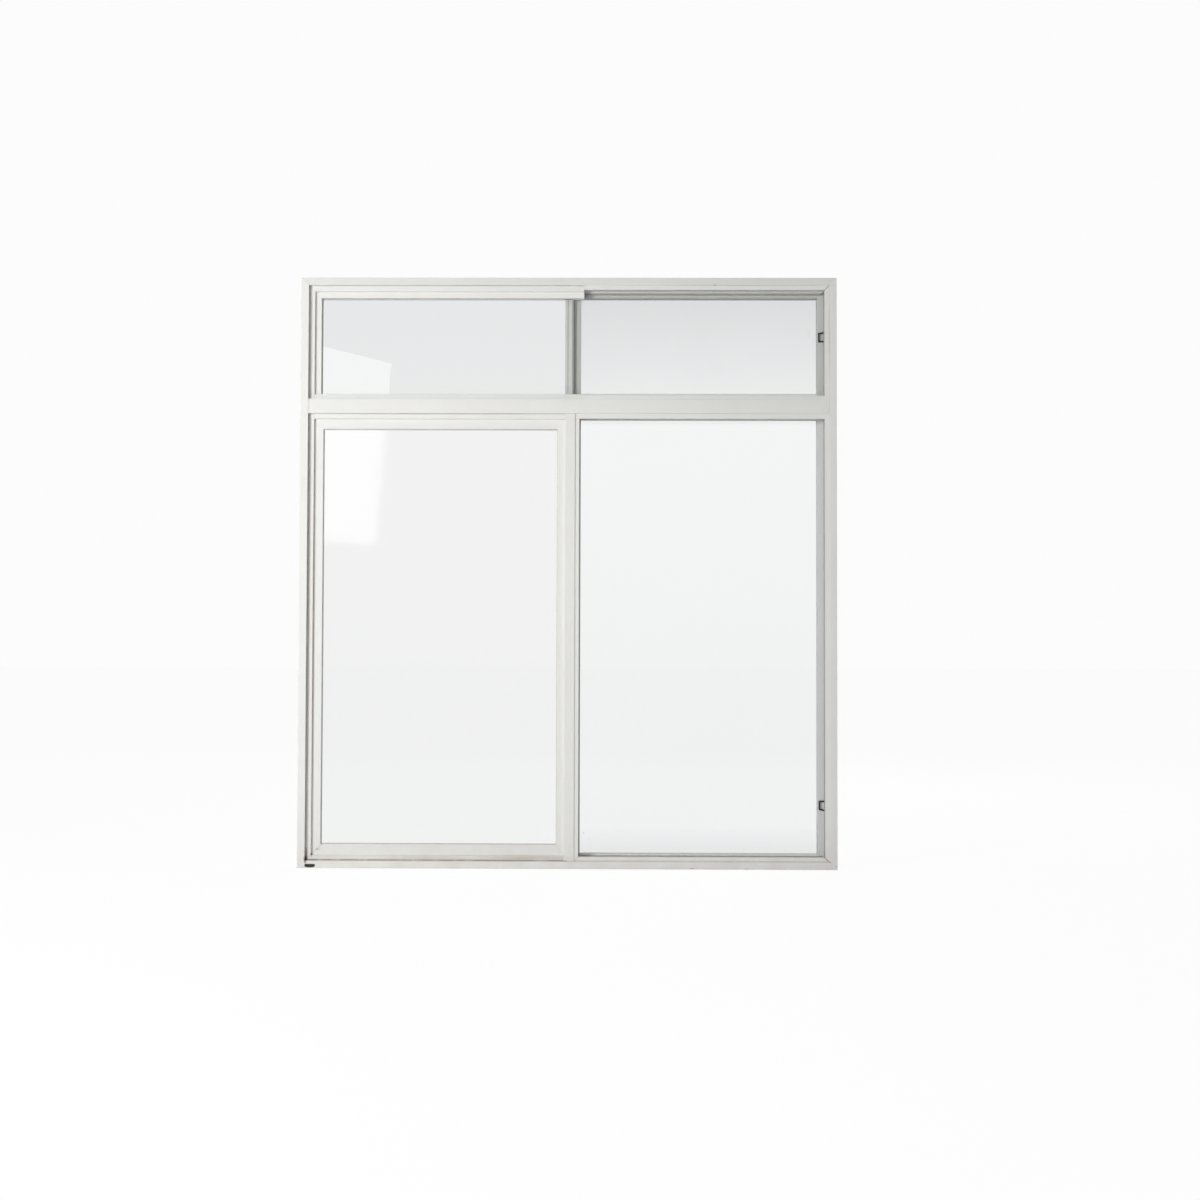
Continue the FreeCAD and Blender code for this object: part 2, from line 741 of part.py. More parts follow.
# The rings go round the whole pane, or stop short of its right edge where something else holds it
def addGasket(name, across, up, wide, tall, front, thick, room, lip, openRight=False):
    rings = []
    bite = "(%s - pane_edge)" % room
    for near in ("%s - %s + hairline" % (front, thick), "%s + pane + hairline" % front):
        parts = []
        for grow, extra in ((bite, "0"), ("(0 - %s)" % lip, "pane")):
            right = extra if openRight else grow
            box = addBox(
                name + "_block",
                "%s + %s + %s" % (wide, grow, right),
                "%s - 2 * hairline + 2 * %s" % (thick, extra),
                "%s + 2 * %s" % (tall, grow),
            )
            spots = {
                "x": "%s - %s" % (across, grow),
                "y": "%s - %s" % (near, extra),
                "z": "%s - %s" % (up, grow),
            }
            for axis, text in spots.items():
                box.setExpression("Placement.Base.%s" % axis, bound(text))
            parts.append(box)
        ring = doc.addObject("Part::Cut", name + "_ring")
        ring.Base, ring.Tool = parts
        rings.append(ring)
    both = doc.addObject("Part::Fuse", name + "_gasket")
    both.Base, both.Tool = rings
    place(both, "0", "0", "0")


for name, sash in sashes.items():
    stileTall = "%s - %s" % (sash["stileHigh"], sash["stileLow"])
    lock = addBar(name + "_sash_lock_stile", "right", lockWide, sashTube(lockWide), stileTall)
    place(lock, lockLeft, "0", sash["stileLow"])
    meet = addBar(name + "_sash_interlock_stile", "left", meetWide, sashTube(meetWide), stileTall)
    place(meet, "-interlock_left", "0", sash["stileLow"])
    base, legs, web, edge = sash["low"]
    railTall = "(%s - %s)" % (edge, legs)
    lowRail = sashRail("(%s - %s)" % (web, legs), railTall)
    low = addBar(name + "_sash_bottom_rail", "bottom", railTall, lowRail, railLong)
    place(low, "interlock_right + hairline", "0", "%s + %s" % (base, legs))
    top, topLegs, topWeb, topEdge = sash["high"]
    topTall = "(%s - %s)" % (topEdge, topLegs)
    topRail = sashRail("(%s - %s)" % (topWeb, topLegs), topTall)
    high = addBar(name + "_sash_top_rail", "top", topTall, topRail, railLong)
    place(high, "interlock_right + hairline", "0", "%s - %s" % (top, topEdge))
    wide = "(%s - interlock_right)" % lockLeft
    up = "(%s + %s)" % (base, edge)
    tall = "(%s - %s - %s)" % (top, topEdge, up)
    opening = ("interlock_right", up, wide, tall, "sash_pane_front")
    thick = "((sash_groove_wide - pane) / 2)"
    addPane(name + "_sash", *opening, "sash_groove")
    addGasket(name + "_sash", *opening, thick, "sash_groove", "sash_gasket_lip")
    addRollers(name + "_sash", sash)
    addLatch(name + "_sash", sash["latchUp"], sash["latchSlant"])
    addPull(name + "_sash", sash["pullUp"], sash["pullTall"])

lowerThick = "((groove_wide - pane) / 2)"
lowerPaneLeft = "(-overall_width / 2 + sight + lower_side_bar)"
lowerPaneWide = "(-mullion_left - lower_meet_bar - %s)" % lowerPaneLeft
lowerPaneLow = "(sill_sight + lower_low_bar)"
lowerPaneTall = "(transom_mid - transom_sight - lower_top_bar - %s)" % lowerPaneLow
lowerPane = (lowerPaneLeft, lowerPaneLow, lowerPaneWide, lowerPaneTall, "lower_pane_front")
addPane("lower_lite", *lowerPane, "groove_deep")
addGasket("lower_lite", *lowerPane, lowerThick, "groove_deep", "lite_gasket_lip")

# the upper pane's right edge lies on the interlock, up to its bevel, and its gasket stops at the interlock
upperThick = "((upper_groove_wide - pane) / 2)"
upperPaneLeft = "(-overall_width / 2 + sight + upper_bar)"
upperPaneTall = "(%s - %s)" % (upperPaneHigh, upperPaneLow)
upperPaneEnd = "lite_interlock_right - lite_interlock_bevel - groove_deep + pane_edge"
upperPaneWide = "(%s - %s)" % (upperPaneEnd, upperPaneLeft)
upperPane = (upperPaneLeft, upperPaneLow, upperPaneWide, upperPaneTall, "upper_pane_front")
addPane("upper_lite", *upperPane, "groove_deep")
upperClear = "(-lite_interlock_left - hairline - %s)" % upperPaneLeft
upperRing = (upperPaneLeft, upperPaneLow, upperClear, upperPaneTall, "upper_pane_front")
addGasket("upper_lite", *upperRing, upperThick, "groove_deep", "lite_gasket_lip", openRight=True)

doc.recompute()

failed = [thing.Name for thing in doc.Objects if "Invalid" in thing.State or "Error" in thing.State]
for thing in subParts:
    if thing.Shape.isNull() or not thing.Shape.isValid() or not thing.Shape.Solids:
        failed.append(thing.Label)
if failed:
    raise RuntimeError("not built: " + ", ".join(failed))

os.makedirs("parts", exist_ok=True)
for thing in subParts:
    thing.Shape.exportStep(os.path.join("parts", thing.Label + ".step"))
    print(thing.Label, len(thing.Shape.Solids), round(thing.Shape.Volume))
print("nodes", len(subParts))
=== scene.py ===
import json
import math
import random

import bmesh
import bpy
from mathutils import Matrix, Vector


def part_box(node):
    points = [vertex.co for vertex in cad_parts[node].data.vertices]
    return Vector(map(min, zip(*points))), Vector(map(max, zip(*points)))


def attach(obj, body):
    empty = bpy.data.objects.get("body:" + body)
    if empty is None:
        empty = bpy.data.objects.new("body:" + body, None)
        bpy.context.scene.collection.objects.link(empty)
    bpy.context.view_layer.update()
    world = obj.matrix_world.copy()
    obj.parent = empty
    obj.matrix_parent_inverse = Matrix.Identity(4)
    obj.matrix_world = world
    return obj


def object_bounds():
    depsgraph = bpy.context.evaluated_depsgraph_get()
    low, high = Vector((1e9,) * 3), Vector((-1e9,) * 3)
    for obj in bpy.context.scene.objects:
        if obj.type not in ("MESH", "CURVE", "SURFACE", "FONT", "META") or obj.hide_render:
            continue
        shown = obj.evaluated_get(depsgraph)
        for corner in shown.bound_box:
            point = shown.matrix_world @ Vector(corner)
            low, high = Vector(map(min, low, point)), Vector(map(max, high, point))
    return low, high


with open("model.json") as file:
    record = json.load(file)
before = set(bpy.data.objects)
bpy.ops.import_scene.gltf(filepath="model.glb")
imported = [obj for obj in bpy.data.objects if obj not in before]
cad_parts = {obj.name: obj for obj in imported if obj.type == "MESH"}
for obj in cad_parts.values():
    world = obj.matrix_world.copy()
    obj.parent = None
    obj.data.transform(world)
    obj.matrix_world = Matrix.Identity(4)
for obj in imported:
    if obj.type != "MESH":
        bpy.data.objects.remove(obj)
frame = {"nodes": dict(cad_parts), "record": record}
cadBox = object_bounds()
windowNodes = frame["nodes"]
scene = bpy.context.scene
leftSide, rightSide = cadBox[0][0], cadBox[1][0]
outside = cadBox[0][1]
frameTop = cadBox[1][2]
print("frame loaded:", len(windowNodes), "pieces")


# small helpers for node trees

def addNode(tree, kind, **settings):
    node = tree.nodes.new(kind)
    for name, value in settings.items():
        setattr(node, name, value)
    return node


def setInputs(node, **values):
    for name, value in values.items():
        node.inputs[name.replace("_", " ")].default_value = value
    return node


def feed(tree, socket, value):
    if isinstance(value, (int, float, tuple)):
        socket.default_value = value
    else:
        tree.links.new(value, socket)


def mathNode(tree, operation, first, second=None, clamp=False):
    node = addNode(tree, "ShaderNodeMath", operation=operation, use_clamp=clamp)
    feed(tree, node.inputs[0], first)
    if second is not None:
        feed(tree, node.inputs[1], second)
    return node.outputs[0]


def vectorNode(tree, operation, *values):
    node = addNode(tree, "ShaderNodeVectorMath", operation=operation)
    for socket, value in zip(node.inputs, values):
        feed(tree, socket, value)
    return node


def mixColour(tree, amount, first, second):
    node = addNode(tree, "ShaderNodeMix", data_type="RGBA")
    for socket, value in zip((node.inputs[0], node.inputs[6], node.inputs[7]), (amount, first, second)):
        feed(tree, socket, value)
    return node.outputs[2]


def mixShaders(tree, amount, first, second, output):
    node = tree.nodes.new("ShaderNodeMixShader")
    tree.links.new(amount, node.inputs[0])
    tree.links.new(first.outputs[0], node.inputs[1])
    tree.links.new(second.outputs[0], node.inputs[2])
    tree.links.new(node.outputs[0], output.inputs[0])


def mapRange(tree, value, low, high):  # low gives 0, high gives 1
    node = addNode(tree, "ShaderNodeMapRange", clamp=True)
    feed(tree, node.inputs["From Min"], low)
    feed(tree, node.inputs["From Max"], high)
    tree.links.new(value, node.inputs["Value"])
    return node.outputs[0]


def noiseNode(tree, place, scale, detail=2.0, roughness=0.5):
    node = setInputs(tree.nodes.new("ShaderNodeTexNoise"), Detail=detail, Roughness=roughness)
    feed(tree, node.inputs["Scale"], scale)
    tree.links.new(place, node.inputs["Vector"])
    return node.outputs[0]


def bumpNode(tree, height, strength, depth, normal=None):
    node = setInputs(tree.nodes.new("ShaderNodeBump"), Strength=strength, Distance=depth)
    tree.links.new(height, node.inputs["Height"])
    if normal is not None:
        tree.links.new(normal, node.inputs["Normal"])
    return node.outputs[0]


def objectPlace(tree):
    return tree.nodes.new("ShaderNodeTexCoord").outputs["Object"]


def splitPlace(tree, place):
    node = tree.nodes.new("ShaderNodeSeparateXYZ")
    tree.links.new(place, node.inputs[0])
    return node.outputs["X"], node.outputs["Y"], node.outputs["Z"]


def newGroup(name, inputs, outputs):
    group = bpy.data.node_groups.new(name, "ShaderNodeTree")
    for label, kind, value in inputs:
        socket = group.interface.new_socket(label, in_out="INPUT", socket_type=kind)
        socket.default_value = value
    for label, kind in outputs:
        group.interface.new_socket(label, in_out="OUTPUT", socket_type=kind)
    return group, group.nodes.new("NodeGroupInput"), group.nodes.new("NodeGroupOutput")


def placeGroup(tree, group, **values):
    node = addNode(tree, "ShaderNodeGroup", node_tree=group)
    for name, value in values.items():
        feed(tree, node.inputs[name.replace("_", " ")], value)
    return node


def newMaterial(name):
    material = bpy.data.materials.new(name)
    material.use_nodes = True
    tree = material.node_tree
    tree.nodes.clear()
    output = tree.nodes.new("ShaderNodeOutputMaterial")
    shader = tree.nodes.new("ShaderNodeBsdfPrincipled")
    tree.links.new(shader.outputs[0], output.inputs[0])
    return material, tree, shader


def finishMesh(bm, name, material):
    mesh = bpy.data.meshes.new(name)
    bm.to_mesh(mesh)
    bm.free()
    piece = bpy.data.objects.new(name, mesh)
    scene.collection.objects.link(piece)
    mesh.materials.append(material)
    return piece


# camera, matched to the four outer corners of the frame in the photo
photoCamera = {
    "place": (0.091, -3.190, 0.400),
    "yaw": -0.562,
    "pitch": 1.773,
    "roll": 0.155,
    "lens": 51.0,
    "sensor": 36.0,
}


def makeCamera(settings):
    data = bpy.data.cameras.new("photoCamera")
    data.lens = settings["lens"]
    data.sensor_width = settings["sensor"]
    camera = bpy.data.objects.new("photoCamera", data)
    scene.collection.objects.link(camera)
    turn = Matrix.Rotation(math.radians(-settings["yaw"]), 3, "Z")
    turn = turn @ Matrix.Rotation(math.radians(90 + settings["pitch"]), 3, "X")
    turn = turn @ Matrix.Rotation(math.radians(settings["roll"]), 3, "Z")
    camera.matrix_world = Matrix.Translation(settings["place"]) @ turn.to_4x4()
    scene.camera = camera


makeCamera(photoCamera)

# white surround: what is seen directly or in the panes, and the weaker light it gives
surround = {
    "backdrop": (0.975, 0.975, 0.975, 1),
    "ambient": (0.20, 0.20, 0.203, 1),
}


def seenDirectly(tree):
    rays = tree.nodes.new("ShaderNodeLightPath")
    either = mathNode(tree, "MAXIMUM", rays.outputs["Is Camera Ray"], rays.outputs["Is Glossy Ray"])
    return mathNode(tree, "MAXIMUM", either, rays.outputs["Is Transmission Ray"])


def makeWorld(settings):
    world = bpy.data.worlds.new("whiteSurround")
    scene.world = world
    world.use_nodes = True
    tree = world.node_tree
    tree.nodes.clear()
    lighting = setInputs(tree.nodes.new("ShaderNodeBackground"), Color=settings["ambient"])
    backdrop = setInputs(tree.nodes.new("ShaderNodeBackground"), Color=settings["backdrop"])
    output = tree.nodes.new("ShaderNodeOutputWorld")
    mixShaders(tree, seenDirectly(tree), lighting, backdrop, output)


makeWorld(surround)

# a soft light from the left, a weak one beside the camera and one behind the window
lights = {
    "keyLight": {
        "place": (-1.685, -2.236, 0.85), "aim": (-0.1, 0.0, 0.6), "size": (0.75, 0.9),
        "power": 44.5, "tint": (1.0, 0.99, 0.975),
    },
    "fillLight": {
        "place": (-0.5, -3.35, 0.65), "aim": (-0.05, 0.0, 0.55), "size": (1.2, 1.0),
        "power": 16.0, "tint": (1, 1, 1),
    },
    "backLight": {
        "place": (0.8, 2.3, 2.2), "aim": (0.0, 0.0, 0.55), "size": (1.3, 1.3),
        "power": 30.0, "tint": (1, 1, 1),
    },
}


def makeLight(name, settings):
    data = bpy.data.lights.new(name, "AREA")
    data.shape = "RECTANGLE"
    data.size, data.size_y = settings["size"]
    data.energy = settings["power"]
    data.color = settings["tint"]
    light = bpy.data.objects.new(name, data)
    scene.collection.objects.link(light)
    light.location = settings["place"]
    facing = Vector(settings["aim"]) - Vector(settings["place"])
    light.rotation_euler = facing.to_track_quat("-Z", "Y").to_euler()
    light.visible_camera = False
    light.visible_glossy = False  # keeps it out of the panes
    light.visible_transmission = False


for name, settings in lights.items():
    makeLight(name, settings)

# pale floor, nearly as bright as the backdrop where it is seen
paleFloor = {
    "reach": 40.0,
    "drop": 0.0004,
    "rough": 0.9,
    "tone": (0.8, 0.8, 0.8, 1),
    "seen": (0.05, 0.05, 0.05, 1),
    "glow": 0.955,
}


def makeFloor(settings):
    material, tree, shader = newMaterial("paleFloor")
    setInputs(shader, Roughness=settings["rough"], Specular_IOR_Level=0.0, Emission_Color=(1, 1, 1, 1))
    seen = seenDirectly(tree)
    tree.links.new(mixColour(tree, seen, settings["tone"], settings["seen"]), shader.inputs["Base Color"])
    tree.links.new(mathNode(tree, "MULTIPLY", seen, settings["glow"]), shader.inputs["Emission Strength"])
    bm = bmesh.new()
    bmesh.ops.create_grid(bm, x_segments=1, y_segments=1, size=settings["reach"])
    bmesh.ops.translate(bm, verts=bm.verts, vec=(0, 0, -settings["drop"]))
    finishMesh(bm, "floor", material)


makeFloor(paleFloor)

# bright panel beside the camera, only there to be mirrored in the left panes
brightPanel = {
    "corners": ((-1.291, -4.2, 1.757), (-0.893, -4.2, 1.657), (-0.957, -4.2, 0.864), (-1.284, -4.2, 0.891)),
    "glow": 3.45,
}


def makePanel(settings):
    material, tree, shader = newMaterial("brightPanel")
    setInputs(shader, Base_Color=(0, 0, 0, 1), Roughness=1.0)
    setInputs(shader, Emission_Color=(1, 1, 1, 1), Emission_Strength=settings["glow"])
    bm = bmesh.new()
    bm.faces.new([bm.verts.new(corner) for corner in settings["corners"]])
    panel = finishMesh(bm, "brightPanel", material)
    panel.visible_camera = False
    panel.visible_diffuse = False
    panel.visible_shadow = False
    panel.visible_transmission = False


makePanel(brightPanel)
scene.view_settings.view_transform = "Standard"
print("studio ready")


# shared surface effects

def makeGrainGroup():
    group, inputs, outputs = newGroup(
        "surfaceGrain",
        [("Fine", "NodeSocketFloat", 900.0), ("Broad", "NodeSocketFloat", 14.0)],
        [("Height", "NodeSocketFloat"), ("Mottle", "NodeSocketFloat")],
    )
    place = objectPlace(group)
    fine = noiseNode(group, place, inputs.outputs["Fine"])
    broad = noiseNode(group, place, inputs.outputs["Broad"], detail=4.0, roughness=0.6)
    group.links.new(fine, outputs.inputs["Height"])
    group.links.new(broad, outputs.inputs["Mottle"])
    return group


def makeDieLineGroup():  # faint lines that run along an extruded bar
    group, inputs, outputs = newGroup(
        "dieLines",
        [("Stretch", "NodeSocketVector", (1, 1, 1)), ("Scale", "NodeSocketFloat", 500.0)],
        [("Height", "NodeSocketFloat")],
    )
    mapping = group.nodes.new("ShaderNodeMapping")
    group.links.new(objectPlace(group), mapping.inputs["Vector"])
    group.links.new(inputs.outputs["Stretch"], mapping.inputs["Scale"])
    lines = noiseNode(group, mapping.outputs[0], inputs.outputs["Scale"], detail=3.0)
    group.links.new(lines, outputs.inputs["Height"])
    return group


grimeAndShadeShape = {
    "patches": 22.0,
    "falloff": 3.0,
    "everywhere": 0.3,
    "washFoot": 0.004,
    "washBare": 0.35,
    "washFull": 0.7,
}


def makeGrimeAndShadeGroup(shape):
    group, inputs, outputs = newGroup(
        "grooveGrime",
        [
            ("Corners", "NodeSocketFloat", 0.6),
            ("Reach", "NodeSocketFloat", 0.003),
            ("Wash", "NodeSocketFloat", 0.2),
            ("Wash Top", "NodeSocketFloat", 0.12),
        ],
        [("Mask", "NodeSocketFloat"), ("Wash", "NodeSocketFloat")],
    )
    place = objectPlace(group)
    patchy = noiseNode(group, place, shape["patches"], detail=5.0, roughness=0.65)
    closeness = addNode(group, "ShaderNodeAmbientOcclusion", samples=8)  # grime, and painted shade, gather in the grooves
    group.links.new(inputs.outputs["Reach"], closeness.inputs["Distance"])
    groove = mathNode(group, "SUBTRACT", 1.0, closeness.outputs["AO"])
    groove = mathNode(group, "POWER", groove, shape["falloff"])
    groove = mathNode(group, "MULTIPLY", groove, mathNode(group, "ADD", patchy, shape["everywhere"]))
    groove = mathNode(group, "MULTIPLY", groove, inputs.outputs["Corners"], clamp=True)
    z = splitPlace(group, place)[2]
    low = mapRange(group, z, inputs.outputs["Wash Top"], shape["washFoot"])  # brown wash where water stands
    low = mathNode(group, "MULTIPLY", low, mapRange(group, patchy, shape["washBare"], shape["washFull"]))
    low = mathNode(group, "MULTIPLY", low, inputs.outputs["Wash"])
    group.links.new(groove, outputs.inputs["Mask"])
    group.links.new(low, outputs.inputs["Wash"])
    return group


def makeSpotGroup(raggedness):  # a ragged spot round one point, for dirt and for painted shade
    group, inputs, outputs = newGroup(
        "dirtSpot",
        [
            ("Middle", "NodeSocketVector", (0, 0, 0)),
            ("Spread", "NodeSocketVector", (1, 1, 1)),
            ("Radius", "NodeSocketFloat", 0.003),
            ("Strength", "NodeSocketFloat", 1.0),
        ],
        [("Mask", "NodeSocketFloat")],
    )
    place = objectPlace(group)
    away = vectorNode(group, "SUBTRACT", place, inputs.outputs["Middle"])
    squeezed = vectorNode(group, "DIVIDE", away.outputs[0], inputs.outputs["Spread"])
    reach = vectorNode(group, "LENGTH", squeezed.outputs[0])
    ragged = mathNode(group, "SUBTRACT", noiseNode(group, place, raggedness, detail=3.0), 0.5)
    ragged = mathNode(group, "MULTIPLY", ragged, inputs.outputs["Radius"])
    edge = mathNode(group, "ADD", reach.outputs["Value"], ragged)
    mask = mapRange(group, edge, inputs.outputs["Radius"], 0.0)
    mask = mathNode(group, "MULTIPLY", mask, inputs.outputs["Strength"], clamp=True)
    group.links.new(mask, outputs.inputs["Mask"])
    return group


seamWear = {"patches": 260.0, "bare": 0.25, "full": 0.55}


def makeSeamGroup(wear):  # the dark line of a mitre, through a corner at the given slope
    group, inputs, outputs = newGroup(
        "mitreSeam",
        [
            ("Corner", "NodeSocketVector", (0, 0, 0)),
            ("Slope", "NodeSocketFloat", 1.0),
            ("Width", "NodeSocketFloat", 0.0006),
            ("Length", "NodeSocketFloat", 0.03),
        ],
        [("Mask", "NodeSocketFloat")],
    )
    place = objectPlace(group)
    away = vectorNode(group, "SUBTRACT", place, inputs.outputs["Corner"])
    x, y, z = splitPlace(group, away.outputs[0])
    rise = mathNode(group, "MULTIPLY", x, inputs.outputs["Slope"])
    gap = mathNode(group, "ABSOLUTE", mathNode(group, "SUBTRACT", z, rise))
    line = mapRange(group, gap, inputs.outputs["Width"], 0.0)
    near = mathNode(group, "LESS_THAN", mathNode(group, "ABSOLUTE", x), inputs.outputs["Length"])
    worn = noiseNode(group, place, wear["patches"], detail=3.0)
    worn = mapRange(group, worn, wear["bare"], wear["full"])
    mask = mathNode(group, "MULTIPLY", mathNode(group, "MULTIPLY", line, near), worn)
    group.links.new(mask, outputs.inputs["Mask"])
    return group


surfaceGrain = makeGrainGroup()
dieLines = makeDieLineGroup()
grooveGrime = makeGrimeAndShadeGroup(grimeAndShadeShape)
dirtSpot = makeSpotGroup(420.0)
mitreSeam = makeSeamGroup(seamWear)

# marks on the white paint: where mitres show, where dirt has settled, and painted shade in the head's track, under the
# faces of the head and the transom bar and in the gaps beside the left jamb
trimCorner = rightSide - 0.0245
mitreMarks = [
    {"corner": (trimCorner, 0, 0.0227), "slope": -0.83, "width": 0.0018, "length": 0.0115, "strength": 1.0},
    {"corner": (trimCorner, 0, frameTop - 0.0245), "slope": 1.0, "width": 0.0016, "length": 0.0115, "strength": 0.9},
    {"corner": (-0.4563, 0, 0.0432), "slope": 1.07, "width": 0.0009, "length": 0.0185, "strength": 0.3},
    {"corner": (-0.021, 0, 0.0432), "slope": -1.25, "width": 0.0009, "length": 0.0155, "strength": 0.25},
    {"corner": (0.0207, 0, 0.0222), "slope": 1.0, "width": 0.001, "length": 0.008, "strength": 0.6},
]
darkMarks = [
    # lower left corner, its grooves and the weep slot
    {"middle": (-0.485, outside + 0.008, 0.015), "spread": (1, 4, 2.2), "radius": 0.0042, "strength": 1.3},
    {"middle": (-0.4752, outside + 0.01, 0.024), "spread": (1, 4, 1.8), "radius": 0.0022, "strength": 1.0},
    {"middle": (-0.4563, outside + 0.014, 0.0432), "spread": (1, 4, 1), "radius": 0.0024, "strength": 0.9},
    {"middle": (-0.472, outside + 0.006, 0.0146), "spread": (6, 4, 0.5), "radius": 0.0026, "strength": 0.6},
    {"middle": (-0.4762, outside, 0.0023), "spread": (7.5, 4, 1), "radius": 0.0014, "strength": 2.5},
    # head, its track and the upper right corner
    # painted shade: a dark band in the head's track, under the lip of the trim
    {"middle": (0.25, outside + 0.028, frameTop - 0.016), "spread": (150, 3, 1), "radius": 0.0045, "strength": 0.35},
    {"middle": (rightSide - 0.0165, outside + 0.002, frameTop - 0.0165), "spread": (1, 4, 1),
     "radius": 0.0025, "strength": 0.5},
    {"middle": (0.273, outside, frameTop - 0.0135), "spread": (1, 4, 1), "radius": 0.0018, "strength": 0.7},
    # lower edge of the sill
    {"middle": (rightSide, outside, 0.007), "spread": (2.5, 4, 0.5), "radius": 0.002, "strength": 0.7},
    {"middle": (0.0, outside, 0.0), "spread": (500, 4, 1), "radius": 0.0034, "strength": 0.1},
    {"middle": (0.231, outside, 0.0012), "spread": (2.4, 4, 1), "radius": 0.0022, "strength": 0.5},
    {"middle": (0.331, outside, 0.001), "spread": (3, 4, 1), "radius": 0.002, "strength": 0.4},
]
brownMarks = [
    # gaps beside the left jamb, brown with dirt and darkened with painted shade, and the corner below them
    {"middle": (-0.484, outside + 0.01, 0.5), "spread": (1, 4, 200), "radius": 0.004, "strength": 0.5},
    {"middle": (-0.4755, outside + 0.01, 0.45), "spread": (1, 4, 300), "radius": 0.002, "strength": 0.6},
    {"middle": (-0.4845, outside + 0.01, 0.026), "spread": (1, 4, 5), "radius": 0.0042, "strength": 0.9},
    {"middle": (-0.4645, outside + 0.013, 0.0335), "spread": (1.7, 4, 0.9), "radius": 0.0032, "strength": 0.6},
    # foot of the lower lite
    {"middle": (-0.07, outside + 0.008, 0.0195), "spread": (28, 4, 1.5), "radius": 0.0042, "strength": 0.45},
    {"middle": (-0.26, outside + 0.008, 0.0185), "spread": (30, 4, 1.2), "radius": 0.0036, "strength": 0.25},
    # joints of the head, the transom bar and the right jamb; the lines under the faces of the head and the transom bar
    # are painted shade as well as dirt
    {"middle": (0.3, outside + 0.001, frameTop - 0.0142), "spread": (180, 4, 1), "radius": 0.0014, "strength": 0.25},
    {"middle": (0.25, outside + 0.001, 0.8722), "spread": (200, 4, 1), "radius": 0.0013, "strength": 0.16},
    {"middle": (0.25, outside + 0.001, 0.8457), "spread": (200, 4, 1), "radius": 0.0013, "strength": 0.25},
    {"middle": (-0.235, outside + 0.006, 0.8455), "spread": (170, 4, 1), "radius": 0.0018, "strength": 0.3},
    {"middle": (rightSide - 0.014, outside + 0.001, 0.985), "spread": (1, 4, 90), "radius": 0.0014, "strength": 0.5},
]
meetingMarks = [
    {"middle": (-0.0016, outside + 0.026, 1.0), "spread": (1, 4, 300), "radius": 0.0014, "strength": 0.75},
]
sillLine = {
    "height": 0.0146,
    "half": 0.0018,
    "left": -0.4862,
    "right": 0.4865,
    "back": outside + 0.02,
    "middle": 0.0,
    "strong": 1.1,
    "weak": 0.4,
    "patches": 60.0,
    "bare": 0.1,
    "full": 0.5,
}


def spotMask(tree, mark):
    spot = placeGroup(
        tree, dirtSpot, Middle=mark["middle"], Spread=mark["spread"], Radius=mark["radius"], Strength=mark["strength"])
    return spot.outputs[0]


def seamMask(tree, mark):
    seam = placeGroup(
        tree, mitreSeam, Corner=mark["corner"], Slope=mark["slope"], Width=mark["width"], Length=mark["length"])
    return mathNode(tree, "MULTIPLY", seam.outputs[0], mark["strength"])


def sillMask(tree, line):  # brown line where the sill meets the lite, stronger left of the mullion
    place = objectPlace(tree)
    x, y, z = splitPlace(tree, place)
    offset = mathNode(tree, "ABSOLUTE", mathNode(tree, "SUBTRACT", z, line["height"]))
    mask = mapRange(tree, offset, line["half"], 0.0)
    patchy = noiseNode(tree, place, line["patches"], detail=4.0)
    mask = mathNode(tree, "MULTIPLY", mask, mapRange(tree, patchy, line["bare"], line["full"]))
    onLeft = mathNode(tree, "LESS_THAN", x, line["middle"])
    amount = mathNode(tree, "MULTIPLY", onLeft, line["strong"] - line["weak"])
    mask = mathNode(tree, "MULTIPLY", mask, mathNode(tree, "ADD", amount, line["weak"]), clamp=True)
    limits = (("GREATER_THAN", x, "left"), ("LESS_THAN", x, "right"), ("LESS_THAN", y, "back"))
    for operation, value, limit in limits:
        mask = mathNode(tree, "MULTIPLY", mask, mathNode(tree, operation, value, line[limit]))
    return mask


# paint: a look for the white frame, and copies of it with painted light and shade: darker for the head and the pieces
# that lie in the rear track, lighter for the sashes' bottom rails and the fixed lite's interlock bar
whiteLook = {
    "light": (0.82, 0.822, 0.803, 1),
    "shade": (0.78, 0.782, 0.76, 1),
    "grime": (0.075, 0.058, 0.040, 1),
    "washTint": (0.37, 0.27, 0.17, 1),
    "corners": 0.3,
    "reach": 0.004,
    "wash": 0.16,
    "rough": 0.34,
    "mottleRough": 0.12,
    "dirtRough": 0.4,
    "edge": 0.0005,
    "peel": 0.06,
    "peelDepth": 0.0004,
    "drawn": 0.05,
    "drawnDepth": 0.0003,
    "darkMarks": darkMarks,
}
# painted shade: the head is the frame's white paint, made a little darker
headShadedLook = dict(whiteLook, light=(0.775, 0.777, 0.756, 1), shade=(0.737, 0.739, 0.715, 1))
sashLook = dict(whiteLook, wash=0.0, corners=0.2, darkMarks=[])
# painted shade: the upper sash's stiles and top rail are the white paint made darker for the shade in the rear track
upperSashShadedLook = dict(sashLook, light=(0.58, 0.60, 0.58, 1), shade=(0.53, 0.55, 0.53, 1))
upperRailShadedLook = dict(sashLook, light=(0.56, 0.57, 0.535, 1), shade=(0.51, 0.52, 0.485, 1))
# painted shade: the lower sash is the white paint made darker for the shade in the rear track
lowerSashShadedLook = dict(sashLook, light=(0.695, 0.71, 0.695, 1), shade=(0.645, 0.66, 0.645, 1))
# painted light: the sashes' bottom rails and the fixed lite's interlock bar are made lighter than the shade they lie
# in
sashFootLitLook = dict(sashLook, light=(0.83, 0.835, 0.82, 1), shade=(0.78, 0.785, 0.77, 1), wash=0.1)
meetingLitLook = dict(sashLook, light=(0.87, 0.885, 0.845, 1), shade=(0.82, 0.835, 0.795, 1), darkMarks=meetingMarks)
